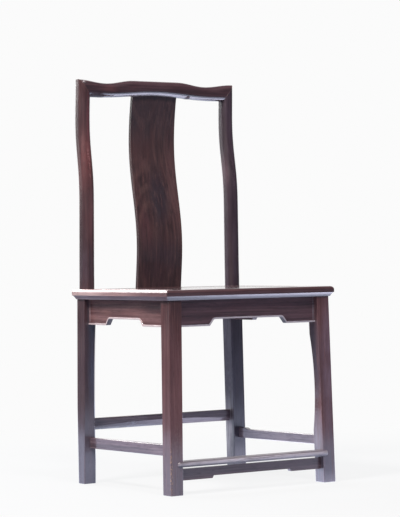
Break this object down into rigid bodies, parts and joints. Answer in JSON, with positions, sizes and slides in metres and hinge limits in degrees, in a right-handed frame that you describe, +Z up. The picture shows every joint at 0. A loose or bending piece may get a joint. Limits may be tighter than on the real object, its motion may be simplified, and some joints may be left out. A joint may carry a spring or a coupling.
{
  "type": "official hat chair",
  "caption": "Side chair with an S-curved splat, a humped crest rail mitred to its stiles, a framed panel seat, scalloped aprons, a footrest and stepped stretchers, in dark hardwood.",
  "frame": {"origin": "centre of the chair's footprint on the floor: the bounding box's bottom centre", "axes": "+X along the chair's width, to the right as seen from the front; -Y towards the front of the seat; +Z up"},
  "size_m": [0.518, 0.4496, 1.0442],
  "materials": {
    "hardwood": "dark purple-brown hardwood, waxed and polished by use",
    "bamboo": "bamboo pins, darkened and rubbed flush"
  },
  "bodies": {
    "root": {"crest_rail": "hardwood", "left_rear_leg": "hardwood", "right_rear_leg": "hardwood", "left_front_leg": "hardwood", "right_front_leg": "hardwood", "back_splat": "hardwood", "seat_front_rail": "hardwood", "seat_rear_rail": "hardwood", "seat_left_rail": "hardwood", "seat_right_rail": "hardwood", "seat_panel": "hardwood", "left_seat_batten": "hardwood", "right_seat_batten": "hardwood", "front_apron": "hardwood", "left_apron": "hardwood", "right_apron": "hardwood", "rear_apron": "hardwood", "footrest": "hardwood", "footrest_apron": "hardwood", "left_stretcher": "hardwood", "right_stretcher": "hardwood", "back_stretcher": "hardwood", "crest_pins": "bamboo", "seat_frame_pins": "bamboo"}
  },
  "joints": []
}
